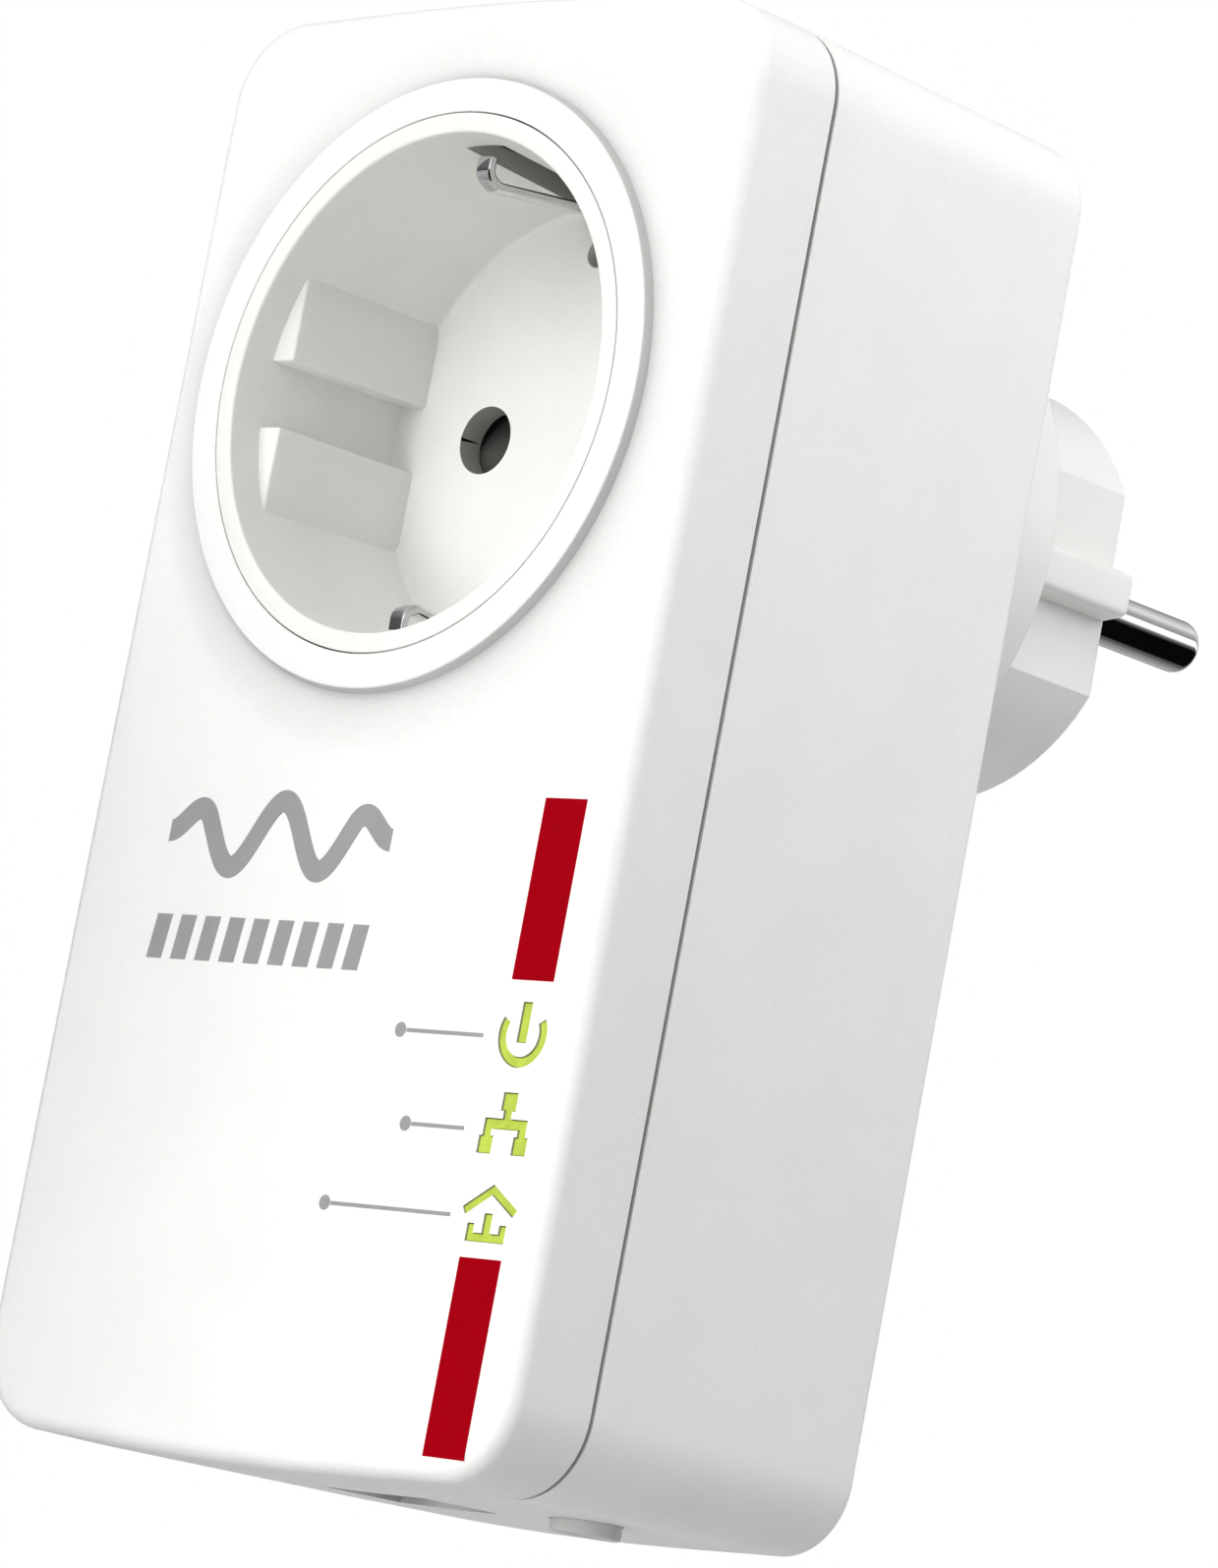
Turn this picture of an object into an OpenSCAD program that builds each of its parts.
// Wall-plug powerline network adapter with a through socket and one network port.
// +Z is up on the wall, the front faces -Y and the plug pins point to +Y.
// The origin is on the common axis of socket and plug, at the housing's rear face.

/* [Housing] */
// Width of the housing
body_w = 63.4; // [63:0.1:68]
// Height of the housing above the socket axis
body_top = 33.8; // [33:0.1:37]
// Depth of the housing below the socket axis
body_bottom = 90.5; // [90:0.1:96]
// Housing size from its rear face to its front face
body_depth = 41.5; // [41:0.1:43]
// Length of the front shell along the depth
front_depth = 9.3; // [9:0.1:10]
// Width of the groove between the two shells
seam_gap = 0.5; // [0.2:0.05:0.8]
// Wall thickness of both shells
wall = 2; // [1.6:0.1:2.2]
// Radius of the four upright corners
corner_r = 7.3; // [6:0.1:9]
// Radius of the rounding around the front face
edge_r = 3.2; // [2:0.1:4]
// Rise of the crowned top and bottom
crown = 0.7; // [0.1:0.1:1]
// Amount that the rear shell narrows on each side
draft = 0.6; // [0.1:0.1:1]

/* [Socket] */
// Height of the raised collar above the front face
collar_h = 2; // [1.5:0.1:2.5]
// Radius of the collar's flat ring
collar_r = 26.2; // [25.5:0.1:27]
// Radius of the socket insert's rim
rim_r = 23.2; // [23:0.05:23.3]
// Radius of the well at its mouth
well_r = 21.5; // [21.3:0.05:21.6]
// Radius of the well at its floor
well_floor_r = 20.35; // [20.2:0.05:20.5]
// Depth of the well below the collar
well_depth = 18.4; // [17.5:0.1:18.6]
// Distance between the flats on the two sides of the well
well_flats = 35.3; // [35.1:0.1:35.5]
// Radius of a pin hole in the floor
pin_hole_r = 3; // [2.8:0.05:3.1]
// Travel of the safety shutter
shutter_travel = 6.2; // [5.9:0.1:6.3]

/* [Plug] */
// Distance between the two pins
pin_pitch = 19; // [18.9:0.05:19.1]
// Diameter of a pin
pin_d = 4.8; // [4.7:0.05:4.86]
// Length of a pin in front of the plug face
pin_len = 19; // [18.5:0.1:19.5]
// Radius of the round base behind the housing
base_r = 25.9; // [25:0.1:27]
// Depth of the round base
base_h = 9.5; // [8:0.1:10]
// Radius of the plug
plug_r = 19.1; // [18.9:0.05:19.5]
// Depth of the plug in front of the base
plug_h = 18.1; // [17.5:0.1:18.5]
// Distance between the flats on the two sides of the plug
plug_flats = 33; // [32.8:0.1:34]

/* [Front marks] */
// Horizontal place of the three icons
icon_x = 25.3; // [24.8:0.1:25.5]
// Upright distance between the icons
icon_pitch = 7.3; // [7.2:0.05:7.5]
// Height of the top icon's centre
icon_z = -53.7; // [-55:0.1:-52]

/* [Network port and button] */
// Horizontal place of the network port
port_x = 3.6; // [2:0.1:6]
// Width of the port opening
port_w = 12; // [11.9:0.05:12.3]
// Height of the port opening
port_h = 9; // [8.8:0.1:9.2]
// Horizontal place of the pairing button
button_x = 18.5; // [18:0.1:20]
// Radius of the pairing button
button_r = 3; // [2.5:0.1:3.2]
// Travel of the pairing button
button_travel = 0.5; // [0.2:0.05:0.6]

/* [Hidden] */
$fn = 96;
cut = 1;                                       // overshoot of a cutting shape
gap = 0.1;                                     // fitting gap between two pieces
slice = 0.01;                                  // thickness of a hulled outline

half_w = body_w / 2;
front_y = -body_depth;                         // front face
seam_y = front_y + front_depth;                // middle of the groove
inner_y = front_y + wall;                      // inside of the front wall
lip_in = 0.95;                                 // depth of the lip below the skin
lip_t = 1.05;                                  // thickness of the lip
lip_len = 3;                                   // reach of the lip past the groove
rear_in = wall + draft;                        // inset of the rear shell's cavity

mouth_y = front_y - collar_h;                  // front of the collar
floor_y = mouth_y + well_depth;                // floor of the well
floor_t = 2.4;                                 // thickness of the floor
floor_back = floor_y + floor_t;                // back of the floor
block_y = mouth_y + 3.2;                       // front of the guide blocks
slot_half = 2.9;                               // half width of channels and windows
tube_r = rim_r - 0.6;                          // outside of the insert's tube
pin_x = pin_pitch / 2;
pin_r = pin_d / 2;

window_z = 15;                                 // lower edge of a clip window
sill_z = 18.2;                                 // floor is closed up to here
earth_screw_r = 1.2;                           // screws in the floor of the well
earth_screw_end = 4;                           // back end of these screws
pocket_y = floor_back + 2.5;                   // back of the shutter pocket
carrier_back = floor_back + 5;                 // back of the carrier's disc
carrier_r = 20;                                // radius of the carrier's disc
tower_r = 4.6;                                 // radius of a contact tower
tower_back = -5;                               // end of the contact towers
sleeve_in = 2.45;                              // inside radius of a contact sleeve
sleeve_out = 3.1;                              // outside radius of a contact sleeve
tail_y = tower_back + 0.6;                     // back of the contacts' flanges
strap_y = -2.7;                                // front of the earth strap
strap_t = 0.6;                                 // thickness of the earth strap
strap_w = 6;                                   // width of the earth strap
screw_z = 16.4;                                // height of the socket screws

shutter_w = 13.2;                              // half width of the shutter
shutter_half = 3.4;                            // half height of the shutter
shutter_y0 = floor_back + 0.1;                 // front of the shutter
shutter_y1 = pocket_y - 0.1;                   // back of the shutter
spring_top = 2.5;                              // moving end of the spring
spring_seat = -12;                             // fixed end of the spring
spring_half = 1.6;                             // half width of the spring's slot
wing_x = 5.6;                                  // inner side of a shutter wing

spigot_r = 21.9;                               // plug body inside the rear wall
spigot_y = strap_y + strap_t;                  // inner end of the plug body
plug_y = base_h + plug_h;                      // plug face
tip_r = 1.7;                                   // rounding of a pin's tip
shank_r = 2;                                   // pin inside the plug body
pin_flange_r = 3.4;                            // flange at a pin's inner end
earth_half = 2.2;                              // half width of a side earth contact

clip_w = 2.2;                                  // width of an earth clip
clip_t = 0.8;                                  // thickness of an earth clip
clip_root = [-22.2, 20.6];                     // y and z where a clip is held

board_y = -15.2;                               // component side of the board
board_t = 1.6;
board_top = -27;
board_bottom = -85.5;
guide_back = -18.4;                            // inner end of the light guides
icon_drop = 0.15;                              // icons lie this far below the face
icon_grow = 0.06;                              // gap around an icon
screw_x = 25;                                  // housing screws
screw_low = -83.5;
screw_high = 26.8;
head_y = -25.5;                                // shoulder under a screw head
column_y = -30.5;                              // where rear columns meet front bosses
boss_r = 2.9;                                  // front boss under a screw
column_r = 3.6;                                // rear column around a screw
well_screw_r = 2.7;                            // screwdriver well in a column
shank_hole_r = 1.45;                           // hole for a screw's shank
pilot_r = 1.2;                                 // hole for a screw's thread

jack_w = 15.9;                                 // network jack, outside
jack_h = 13.2;
jack_len = 16.6;
jack_z = -87.6;                                // mouth of the jack
port_y = board_y - 7.8;                        // middle of the port opening
button_y = board_y - 2.2;                      // axis of the pairing button
flange_z = -87.15;                             // outer face of the button's flange
switch_z = -84;                                // face of the switch
plunger_len = 1.2;                             // plunger in front of the switch
plunger_in = 1.5;                              // plunger inside the switch
plunger_r = 1.5;
flyback_x = -18.5;                             // middle of the flyback transformer
flyback_z = -51.5;

// ---- helpers -------------------------------------------------------------------

// An XZ drawing as a plate from y0 to y1
module slab(y0, y1) {
  translate([0, y1, 0]) rotate([90, 0, 0]) linear_extrude(y1 - y0) children();
}

// A YZ drawing as a bar from x0 to x1
module bar(x0, x1) {
  translate([x0, 0, 0]) rotate([90, 0, 90]) linear_extrude(x1 - x0) children();
}

// A box from one corner to the opposite one
module block(low, high) {
  translate(low) cube(high - low);
}

// A round rod along Y
module rod_y(r, y0, y1, x = 0, z = 0) {
  translate([x, y0, z]) rotate([-90, 0, 0]) cylinder(r = r, h = y1 - y0);
}

// A drawing of radius and y, turned about the socket axis
module turned() {
  rotate([-90, 0, 0]) rotate_extrude() children();
}

function arc(cx, cz, r, a0, a1, n) =
  [for (i = [0:n]) let (a = a0 + (a1 - a0) * i / n) [cx + r * cos(a), cz + r * sin(a)]];

function crown_z(x, reach) = crown * (1 - pow(x / reach, 2));

// The housing's outline, moved inwards by inset
function outline(inset) =
  let (
    cx = half_w - corner_r,
    top = body_top - crown,
    low = -body_bottom + crown,
    r = corner_r - inset,
    n = 10
  )
  concat(
    arc(cx, top - corner_r, r, 0, 90, 9),
    [for (i = [1:n - 1]) let (x = cx * (1 - 2 * i / n)) [x, top - inset + crown_z(x, cx)]],
    arc(-cx, top - corner_r, r, 90, 180, 9),
    arc(-cx, low + corner_r, r, 180, 270, 9),
    [for (i = [1:n - 1]) let (x = cx * (2 * i / n - 1)) [x, low + inset - crown_z(x, cx)]],
    arc(cx, low + corner_r, r, 270, 360, 9)
  );

module outline_plate(inset, y0, y1) {
  slab(y0, y1) polygon(outline(inset));
}

module at_corners() {
  for (x = [-screw_x, screw_x], z = [screw_low, screw_high]) translate([x, 0, z]) children();
}

// ---- housing -------------------------------------------------------------------

module front_skin() {
  steps = 6;
  hull() {
    for (i = [0:steps])
      let (a = 90 * i / steps, y = front_y + edge_r * (1 - sin(a)))
        outline_plate(edge_r * (1 - cos(a)), y, y + slice);
    outline_plate(0, seam_y - seam_gap / 2 - slice, seam_y - seam_gap / 2);
  }
}

// The raised ring around the socket, which flares out into the front face
module collar_ring() {
  reach = 2.6;
  steps = 6;
  flare = [for (i = [0:steps]) let (t = i / steps)
    [collar_r + reach * t, front_y - collar_h * pow(1 - t, 2.4)]];
  turned()
    polygon(concat(
      [[rim_r + gap, inner_y], [rim_r + gap, mouth_y]], flare, [[collar_r + reach, inner_y]]
    ));
}

module front_shell() color("white") {
  difference() {
    union() {
      front_skin();
      collar_ring();
    }
    difference() {
      outline_plate(wall, inner_y, seam_y + cut);
      at_corners() rod_y(boss_r, inner_y - cut, column_y);
    }
    outline_plate(lip_in - gap, seam_y - lip_len - gap, seam_y + cut);
    rod_y(rim_r + gap, mouth_y - cut, inner_y + cut);
    at_corners() rod_y(pilot_r, inner_y + 0.4, seam_y + cut);
    slab(front_y - cut, inner_y + cut) {
      power_icon(icon_grow);
      lan_icon(icon_grow);
      home_icon(icon_grow);
    }
  }
  difference() {
    at_corners() rod_y(boss_r, seam_y - lip_len - 0.5, column_y);
    at_corners() rod_y(pilot_r, inner_y + 0.4, column_y + cut);
  }
}

module rear_skin() {
  edge = 0.5;
  start = seam_y + seam_gap / 2;
  hull() {
    outline_plate(0, start, start + slice);
    outline_plate(draft, -edge - slice, -edge);
    outline_plate(draft + edge * 0.3, -edge * 0.3 - slice, -edge * 0.3);
    outline_plate(draft + edge, -slice, 0);
  }
}

module port_cut() {
  block(
    [port_x - port_w / 2, port_y - port_h / 2, -body_bottom - cut],
    [port_x + port_w / 2, port_y + port_h / 2, jack_z + 2]
  );
}

module rear_shell() color("white") {
  lip_y = seam_y - lip_len;
  difference() {
    union() {
      rear_skin();
      outline_plate(lip_in, lip_y, seam_y + 2);
    }
    difference() {
      outline_plate(rear_in, lip_y - cut, -wall);
      at_corners() rod_y(column_r, column_y, 0);
    }
    outline_plate(lip_in + lip_t, lip_y - cut, column_y);
    rod_y(spigot_r + gap / 2, -wall - cut, cut);
    at_corners() rod_y(well_screw_r, head_y, cut);
    at_corners() rod_y(shank_hole_r, column_y - cut, head_y + cut);
    port_cut();
    translate([button_x, button_y, -body_bottom - cut]) cylinder(r = button_r + gap, h = 5);
  }
}

module housing_screws() color("silver") {
  head_r = 2.4;
  head_h = 1.8;
  shank_len = 11.5;
  at_corners() difference() {
    union() {
      rod_y(head_r, head_y, head_y + head_h);
      rod_y(pilot_r - 0.05, head_y - shank_len, head_y + gap);
    }
    slab(head_y + head_h / 2, head_y + head_h + cut) cross_recess();
  }
}

module cross_recess() {
  for (a = [0, 90]) rotate(a) square([2.6, 0.6], center = true);
}

// ---- socket --------------------------------------------------------------------

// Everything beyond one flat, above and below the channel
module guide_block() {
  reach = well_r + 0.5;
  for (s = [0, 1]) mirror([0, 0, s]) intersection() {
    rod_y(reach, block_y, floor_y + 0.5);
    block([well_flats / 2, block_y, slot_half], [reach, floor_y + 0.5, reach]);
  }
}

module socket_insert() color("white") {
  difference() {
    union() {
      difference() {
        turned()
          polygon([
            [0, floor_back], [0, floor_y], [well_floor_r, floor_y], [well_r, mouth_y],
            [rim_r, mouth_y], [rim_r, inner_y + 0.5], [tube_r, inner_y + 0.5], [tube_r, floor_back]
          ]);
        for (s = [0, 1]) mirror([0, 0, s])
          block([-slot_half, block_y, window_z], [slot_half, floor_back + cut, rim_r + cut]);
      }
      for (s = [0, 1]) mirror([s, 0, 0]) guide_block();
      for (s = [0, 1]) mirror([0, 0, s])
        block([-slot_half - 0.5, floor_y, window_z - cut], [slot_half + 0.5, floor_back, sill_z]);
    }
    for (x = [-pin_x, pin_x]) rod_y(pin_hole_r, floor_y - cut, floor_back + cut, x);
    for (z = [-screw_z, screw_z])
      rod_y(earth_screw_r + gap, floor_y - cut, floor_back + cut, 0, z);
  }
}

module contact_carrier() color("gainsboro") {
  difference() {
    union() {
      rod_y(carrier_r, floor_back, carrier_back);
      for (x = [-pin_x, pin_x]) rod_y(tower_r, carrier_back - cut, tower_back, x);
    }
    block([-shutter_w - 0.3, floor_back - cut, -shutter_half - shutter_travel - 0.3],
          [shutter_w + 0.3, pocket_y, shutter_half + 0.2]);
    block([-spring_half, floor_back - cut, spring_seat], [spring_half, pocket_y, 0]);
    for (x = [-pin_x, pin_x]) {
      rod_y(pin_hole_r, floor_back, pocket_y + 1.6, x);
      rod_y(sleeve_out + 0.05, pocket_y + 1.5, tower_back + cut, x);
    }
    for (z = [-screw_z, screw_z])
      rod_y(earth_screw_r + gap, floor_back - cut, carrier_back + cut, 0, z);
    for (s = [0, 1]) mirror([0, 0, s])
      block([-slot_half, floor_back - cut, sill_z + 0.4], [slot_half, carrier_back + cut, carrier_r + cut]);
  }
}

module socket_screws() color("silver") {
  head_y = floor_y + 1.2;
  slot = [1.7, 0.45];
  for (z = [-screw_z, screw_z]) difference() {
    rod_y(earth_screw_r, head_y, earth_screw_end, 0, z);
    translate([0, 0, z]) slab(floor_y, head_y + 0.7) rotate(20) square(slot, center = true);
  }
}

module shutter_wing() {
  y0 = shutter_y0;
  y1 = shutter_y1;
  h = shutter_half;
  polygon([[y0, -h], [y1, -h], [y1, h], [y1 - 0.6, h], [y0, -0.4]]);
}

module shutter() color("dimgray") {
  bridge_y = shutter_y0 + 0.4;
  leg_x = spring_half + gap;
  bar(wing_x, shutter_w) shutter_wing();
  bar(-shutter_w, -wing_x) shutter_wing();
  block([-wing_x, bridge_y, spring_top], [wing_x, shutter_y1, shutter_half]);
  for (s = [0, 1]) mirror([s, 0, 0])
    block([leg_x, bridge_y, -shutter_half], [wing_x, shutter_y1, spring_top]);
}

// A closed coil along Z as one skin
module coil(r, wire, turns, length, per_turn = 10, sides = 6) {
  n = turns * per_turn;
  function ring(i) =
    let (a = 360 * i / per_turn, z = wire + (length - 2 * wire) * i / n)
      [for (k = [0:sides - 1]) let (b = 360 * k / sides)
        [(r + wire * cos(b)) * cos(a), (r + wire * cos(b)) * sin(a), z + wire * sin(b)]];
  points = [for (i = [0:n]) each ring(i)];
  skin = [for (i = [0:n - 1], k = [0:sides - 1]) let (j = (k + 1) % sides)
    each [[i * sides + k, (i + 1) * sides + k, (i + 1) * sides + j],
          [i * sides + k, (i + 1) * sides + j, i * sides + j]]];
  ends = [[for (k = [0:sides - 1]) k], [for (k = [sides - 1:-1:0]) n * sides + k]];
  polyhedron(points, concat(skin, ends));
}

module shutter_spring() color("silver") {
  translate([0, (shutter_y0 + shutter_y1) / 2, spring_seat + 0.02])
    coil(0.85, 0.16, 9, spring_top - spring_seat - 0.04);
}

// One contact: a slotted sleeve with a flange, and a tab for its wire
module socket_contact(x) color("goldenrod") {
  flange_r = 4.4;
  tab = [3, 12];
  slit = 0.5;
  difference() {
    union() {
      rod_y(sleeve_out, pocket_y + 1.6, tail_y, x);
      rod_y(flange_r, tower_back, tail_y, x);
      block([x - tab[0] / 2, tower_back, -tab[1]], [x + tab[0] / 2, tail_y, -2]);
    }
    rod_y(sleeve_in, pocket_y, tail_y + cut, x);
    block([x - slit / 2, pocket_y, 0], [x + slit / 2, tower_back - cut, sleeve_out + cut]);
  }
}

// One earth clip: a bent strip that runs along the wall and hooks over at its front
module earth_clip() color("silver") {
  y = clip_root[0];
  z = clip_root[1];
  path = [
    [y, z], [y - 5.5, z - 1.1], [-38, 18.35], [-38.9, 18.4], [-39.45, 18.75], [-39.7, 19.4],
    [-39.7, 20.4]
  ];
  n = len(path) - 1;
  bar(-clip_w / 2, clip_w / 2)
    for (i = [0:n - 1]) strip(path[i], path[i + 1], clip_t);
}

// A flat strip between two points, with round ends
module strip(a, b, t) {
  d = b - a;
  long = norm(d);
  translate(a) rotate(atan2(d[1], d[0])) translate([0, -t / 2]) square([long, t]);
  for (p = [a, b]) translate(p) circle(d = t, $fn = 24);
}

// The strap that joins both clips to the plug's earth contacts
module earth_strap() color("silver") {
  leg_z = clip_root[1] - clip_t / 2;
  leg_t = 0.7;
  leg_half = 2;
  back = strap_y + strap_t;
  difference() {
    union() {
      block([-strap_w / 2, strap_y, -leg_z - leg_t], [strap_w / 2, back, leg_z + leg_t]);
      for (s = [0, 1]) mirror([0, 0, s])
        block([-leg_half, clip_root[0] + 0.5, leg_z], [leg_half, back, leg_z + leg_t]);
    }
    for (z = [-screw_z, screw_z])
      rod_y(earth_screw_r + 2 * gap, strap_y - cut, strap_y + cut, 0, z);
  }
}

// ---- plug ----------------------------------------------------------------------

// A round drawing cut off at the two flats
module plug_section() {
  intersection() {
    circle(r = plug_r);
    square([plug_flats, 2 * plug_r + cut], center = true);
  }
}

// A tapered rib on the right-hand flat
module guide_rib() {
  flat = plug_flats / 2;
  root = flat - 0.5;
  crest = plug_r + 0.3;
  wide = 2.6;
  narrow = 1.85;
  polygon([
    [root, -wide], [flat, -wide], [crest, -narrow], [crest, narrow], [flat, wide], [root, wide]
  ]);
}

module plug_body() color("white") {
  slot = earth_half + 0.2;
  difference() {
    union() {
      turned()
        polygon([
          [0, spigot_y], [spigot_r, spigot_y], [spigot_r, 0], [base_r + 0.2, 0],
          [base_r, base_h - 0.4], [base_r - 0.4, base_h], [0, base_h]
        ]);
      slab(base_h - cut, plug_y) {
        plug_section();
        guide_rib();
        mirror([1, 0]) guide_rib();
      }
    }
    plug_hollow();
    for (x = [-pin_x, pin_x]) {
      rod_y(shank_r, spigot_y - cut, plug_y + cut, x);
      rod_y(pin_flange_r + gap, spigot_y - cut, 0, x);
    }
    for (z = [-screw_z, screw_z])
      rod_y(earth_screw_r + gap / 2, spigot_y - cut, earth_screw_end + cut, 0, z);
    for (s = [0, 1]) mirror([0, 0, s])
      block([-slot, spigot_y - cut, plug_r - 0.8], [slot, plug_y - 1.2, plug_r + cut]);
  }
}

// The space inside the base, around a web for the pins and two screw posts
module plug_hollow() {
  back = base_h - 2.5;
  web = [15, 5];
  post_r = 2.8;
  difference() {
    rod_y(18.6, spigot_y - cut, back);
    block([-web[0], spigot_y - cut, -web[1]], [web[0], base_h, web[1]]);
    for (z = [-screw_z, screw_z]) rod_y(post_r, spigot_y - cut, base_h, 0, z);
  }
}

module plug_pin(x) color("silver") {
  tip_y = plug_y + pin_len;
  translate([x, 0, 0]) turned()
    polygon(concat(
      [[0, tail_y], [pin_flange_r, tail_y], [pin_flange_r, -gap], [shank_r - 0.02, -gap],
       [shank_r - 0.02, plug_y], [pin_r, plug_y]],
      arc(pin_r - tip_r, tip_y - tip_r, tip_r, 0, 80, 6),
      [[0, tip_y]]
    ));
}

// A side earth contact: a strip that bows outwards between its ends
module plug_earth() color("silver") {
  low = plug_r - 0.2;
  high = plug_r + 0.1;
  bow = [[spigot_y, low], [base_h, low], [base_h + 5, high], [base_h + 11, high],
         [plug_y - 1.6, low - 0.1]];
  bar(-earth_half, earth_half)
    for (i = [0:len(bow) - 2]) strip_between(bow[i], bow[i + 1], strap_t);
}

// A flat strip between two points, with plain ends
module strip_between(a, b, t) {
  polygon([a - [0, t / 2], b - [0, t / 2], b + [0, t / 2], a + [0, t / 2]]);
}

// ---- light guides and marks ----------------------------------------------------

function icon_height(i) = icon_z - i * icon_pitch;

// A straight stroke between two points, square at both ends
module stroke(a, b, width) {
  d = b - a;
  translate(a) rotate(atan2(d[1], d[0])) translate([0, -width / 2]) square([norm(d), width]);
}

// A ring that is open at its top, with an upright bar
module power_icon(grow) {
  half_gap = 60;
  reach = 4;
  side = reach * [sin(half_gap), cos(half_gap)];
  translate([icon_x, icon_height(0)]) {
    difference() {
      circle(r = 2.65 + grow);
      circle(r = 1.9 - grow);
      polygon([[0, 0.2], side, [reach, reach + cut], [-reach, reach + cut], [-side[0], side[1]]]);
    }
    tine(0, -0.62, 0.94, 3.2, grow);
  }
}

// Three boxes joined by a tree of lines
module lan_icon(grow) {
  leg = 1.95;
  translate([icon_x, icon_height(1)]) {
    tine(0, 1.12, 1.52, 1.38, grow);
    tine(0, 0, 0.8, 1.3, grow);
    tine(0, -0.4, 2 * leg + 0.8, 0.76, grow);
    for (x = [-leg, leg]) {
      tine(x, -1.2, 0.8, 1.2, grow);
      tine(x, -2.4, 1.46, 1.34, grow);
    }
  }
}

// A roof over a three-pronged comb
module home_icon(grow) {
  eave = [-2.88, 0.17];
  ridge = [0.2, 2.1];
  base = -2.22;
  translate([icon_x, icon_height(2)]) {
    for (s = [0, 1]) mirror([s, 0]) stroke(eave, ridge, 0.62 + 2 * grow);
    tine(0, base, 0.8, 2.22, grow);
    for (x = [-1.81, 1.81]) tine(x, base, 0.64, 1.35, grow);
    tine(0, base, 4.26, 0.6, grow);
  }
}

// An upright bar that stands on the line z and is centred on x
module tine(x, z, wide, tall, grow) {
  translate([x - wide / 2 - grow, z - grow]) square([wide + 2 * grow, tall + 2 * grow]);
}

// One light guide: its icon stands through the front wall on a flange and a stem
module light_guide(i) {
  z = icon_height(i);
  flange = 3;
  stem = 1.6;
  slab(front_y + icon_drop, inner_y + gap) children();
  block([icon_x - flange, inner_y + gap / 2, z - flange], [icon_x + flange, inner_y + 1.2, z + flange]);
  block([icon_x - stem, inner_y + 1, z - stem], [icon_x + stem, guide_back, z + stem]);
}

module light_guide_power() color("yellowgreen") light_guide(0) power_icon(0);
module light_guide_lan() color("yellowgreen") light_guide(1) lan_icon(0);
module light_guide_home() color("yellowgreen") light_guide(2) home_icon(0);

module status_leds() color("palegreen") {
  foot = [3.2, 1.6, 1];
  lens_r = 1.1;
  lens_h = 2.2;
  for (i = [0:2]) {
    on_board(icon_x, icon_height(i), foot);
    rod_y(lens_r, board_y - lens_h, board_y - foot[2] + gap, icon_x, icon_height(i));
  }
}

// ---- button, board and parts on the board --------------------------------------

// A round rod along Z on the button's axis
module rod_z(r, z0, z1) {
  translate([button_x, button_y, z0]) cylinder(r = r, h = z1 - z0);
}

module pairing_button() color("lightgray") {
  proud = 0.4;
  flange_t = 0.6;
  stem_r = 1.3;
  rod_z(button_r, -body_bottom - proud, flange_z + gap);
  rod_z(button_r + 0.7, flange_z, flange_z + flange_t);
  rod_z(stem_r, flange_z + flange_t - gap, switch_z - plunger_len);
}

module tact_switch() color("dimgray") {
  half = 2.75;
  tall = 3.6;
  difference() {
    block([button_x - half, button_y - 2.1, switch_z], [button_x + half, board_y, switch_z + tall]);
    rod_z(plunger_r + gap / 2, switch_z - cut, switch_z + plunger_in + button_travel + 0.4);
  }
}

module switch_plunger() color("black") {
  rod_z(plunger_r, switch_z - plunger_len, switch_z + plunger_in);
}

// The board, cut away at its lower corners for the screw columns
module main_board() color("seagreen") {
  half = 27.3;
  clear = column_r + 0.6;
  back = board_y + board_t;
  difference() {
    block([-half, board_y, board_bottom], [half, back, board_top]);
    for (s = [0, 1]) mirror([s, 0, 0]) {
      rod_y(clear, board_y - cut, back + cut, screw_x, screw_low);
      block([screw_x, board_y - cut, board_bottom - cut], [half + cut, back + cut, screw_low + clear]);
      rod_y(0.9, board_y - cut, back + cut, pin_x, -30);
    }
  }
}

// The jack's opening with the notch for the plug's latch
module jack_opening(grow) {
  half = (11.8 + grow) / 2;
  notch = 3.2;
  deep = jack_z + 13;
  block([port_x - half, port_y - 3.6, jack_z - cut], [port_x + half, port_y + 3.4, deep]);
  block([port_x - notch, port_y - 4.4, jack_z - cut], [port_x + notch, port_y + 3, deep - 1]);
}

module lan_jack_housing() color("dimgray") {
  t = 0.35;
  difference() {
    block([port_x - jack_w / 2 + t, board_y - jack_h + t, jack_z + 0.3],
          [port_x + jack_w / 2 - t, board_y, jack_z + jack_len - t]);
    jack_opening(0);
  }
}

module lan_jack_shield() color("silver") {
  t = 0.3;
  difference() {
    block([port_x - jack_w / 2, board_y - jack_h, jack_z],
          [port_x + jack_w / 2, board_y, jack_z + jack_len]);
    block([port_x - jack_w / 2 + t, board_y - jack_h + t, jack_z + t],
          [port_x + jack_w / 2 - t, board_y + cut, jack_z + jack_len - t]);
    jack_opening(0.1);
  }
}

// Eight bent wires, each with a round root about which it springs
module lan_jack_contacts() color("goldenrod") {
  pitch = 1.02;
  half = 0.17;
  root = [port_y + 3.14, jack_z + 12.7];
  for (i = [0:7]) let (x = port_x + (i - 3.5) * pitch) bar(x - half, x + half) {
    translate(root) circle(r = 0.22);
    polygon([root + [0.1, 0.1], root + [0.1, -0.2], root + [-1.9, -7.7], root + [-2.4, -7.5],
             root + [-0.2, 0.1]]);
  }
}

// A plain moulded body that stands on the board
module on_board(x, z, size) {
  block([x - size[0] / 2, board_y - size[2], z - size[1] / 2], [x + size[0] / 2, board_y, z + size[1] / 2]);
}

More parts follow.
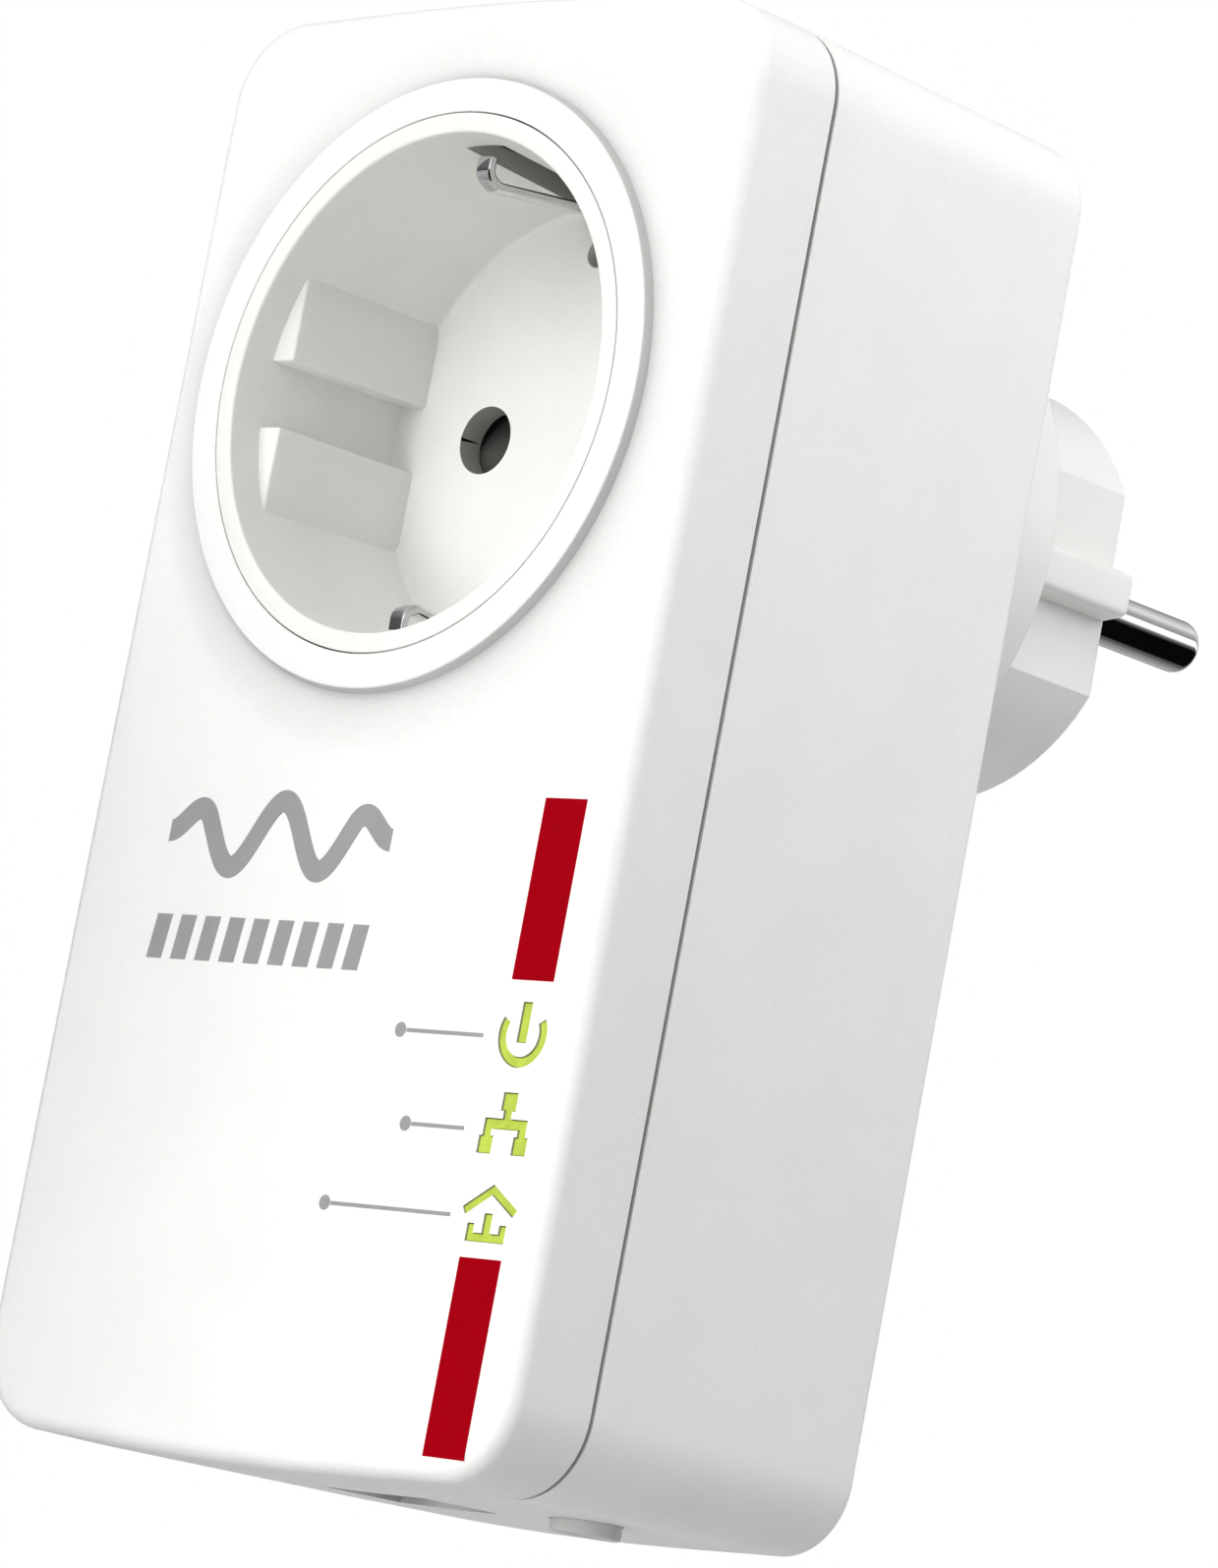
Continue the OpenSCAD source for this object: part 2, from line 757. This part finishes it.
module lan_magnetics() color("black") on_board(-15, -78, [12.7, 7, 5.5]);
module modem_chip() color("black") on_board(6, -58, [14, 14, 1.4]);
module memory_chip() color("black") on_board(-8, -68, [8, 6, 1]);
module crystal() color("silver") on_board(19.5, -74.5, [5, 3.2, 1.2]);
module bridge_rectifier() color("black") on_board(-4, -43.5, [6.4, 5, 2.5]);
module power_controller() color("black") on_board(-6.5, -56, [5, 4, 1.6]);
module varistor() color("royalblue") on_board(3.5, -34, [7.5, 3.4, 9]);
module x_capacitor() color("goldenrod") on_board(-9, -34, [13, 5.2, 11]);

// A round can that stands on the board
module can_on_board(x, z, r, tall) {
  rod_y(r, board_y - tall, board_y, x, z);
}

module fuse() color("tan") can_on_board(12.2, -34, 4.1, 7.6);
module bulk_capacitor() color("darkslategray") can_on_board(-21.5, -35, 5, 17.5);
module output_capacitor() color("darkslategray") can_on_board(-22, -68, 3.15, 8);

// A small transformer with a groove along its top
module coupling_transformer() color("darkkhaki") {
  x = 8.5;
  z = -45;
  size = [9, 8, 7.5];
  groove = 1.5;
  difference() {
    on_board(x, z, size);
    block([x - groove, board_y - size[2] - cut, z - size[1]],
          [x + groove, board_y - size[2] + 1.3, z + size[1]]);
  }
}

// A ring core that stands on its edge
module filter_choke() color("darkgreen") {
  outer = 6.5;
  bore = 3;
  wide = 5.2;
  translate([20, board_y - outer - gap, -42.8]) rotate([0, 90, 0]) difference() {
    cylinder(r = outer, h = wide, center = true);
    cylinder(r = bore, h = wide + cut, center = true);
  }
}

// Two bars across the top and bottom, joined by two side limbs
module flyback_core() color("dimgray") {
  half = 7.5;
  bar_z = 6;
  bar_half = 1.6;
  limb_x = 6.3;
  limb_half = 1.2;
  translate([flyback_x, board_y, flyback_z]) {
    for (s = [-1, 1])
      block([-half, -14, s * bar_z - bar_half], [half, -1.5, s * bar_z + bar_half]);
    for (x = [-limb_x, limb_x])
      block([x - limb_half, -12.6, -bar_z + 1], [x + limb_half, -3, bar_z - 1]);
  }
}

module flyback_winding() color("gold") {
  tall = 8.7;
  translate([flyback_x, board_y - 7.8, flyback_z - tall / 2]) cylinder(r = 4.3, h = tall);
}

// A soft wire along a curve between two points, as one skin
module wire(a, b, c, d, r, steps = 14, sides = 8) {
  function at(t) =
    pow(1 - t, 3) * a + 3 * t * pow(1 - t, 2) * b + 3 * t * t * (1 - t) * c + pow(t, 3) * d;
  function ring(i) =
    [for (k = [0:sides - 1]) at(i / steps) + r * [cos(360 * k / sides), sin(360 * k / sides), 0]];
  points = [for (i = [0:steps]) each ring(i)];
  skin = [for (i = [0:steps - 1], k = [0:sides - 1]) let (j = (k + 1) % sides)
    each [[i * sides + k, (i + 1) * sides + k, (i + 1) * sides + j],
          [i * sides + k, (i + 1) * sides + j, i * sides + j]]];
  ends = [[for (k = [0:sides - 1]) k], [for (k = [sides - 1:-1:0]) steps * sides + k]];
  polyhedron(points, concat(skin, ends));
}

// A supply wire from a contact's tab to the back of the board
module supply_wire(x) {
  wire_r = 0.9;
  start = [x, -6.2, -11.5];
  end = [x * 0.9, board_y + board_t + 1.1, -33];
  wire(start, start - [0, 0, 8.5], [x * 0.8, -11, -24], end, wire_r);
}

module line_wire() color("saddlebrown") supply_wire(-pin_x);
module neutral_wire() color("royalblue") supply_wire(pin_x);

module socket_contact_left() socket_contact(-pin_x);
module socket_contact_right() socket_contact(pin_x);
module plug_pin_left() plug_pin(-pin_x);
module plug_pin_right() plug_pin(pin_x);

front_shell();
rear_shell();
housing_screws();
socket_insert();
contact_carrier();
socket_screws();
shutter();
shutter_spring();
socket_contact_left();
socket_contact_right();
earth_clip();  // earth_clip_top
mirror([0, 0, 1]) earth_clip();  // earth_clip_bottom
earth_strap();
plug_body();
plug_pin_left();
plug_pin_right();
plug_earth();  // plug_earth_top
mirror([0, 0, 1]) plug_earth();  // plug_earth_bottom
light_guide_power();
light_guide_lan();
light_guide_home();
status_leds();
pairing_button();
tact_switch();
switch_plunger();
main_board();
lan_jack_housing();
lan_jack_shield();
lan_jack_contacts();
lan_magnetics();
modem_chip();
memory_chip();
crystal();
coupling_transformer();
filter_choke();
x_capacitor();
fuse();
varistor();
bridge_rectifier();
bulk_capacitor();
power_controller();
flyback_core();
flyback_winding();
output_capacitor();
line_wire();
neutral_wire();
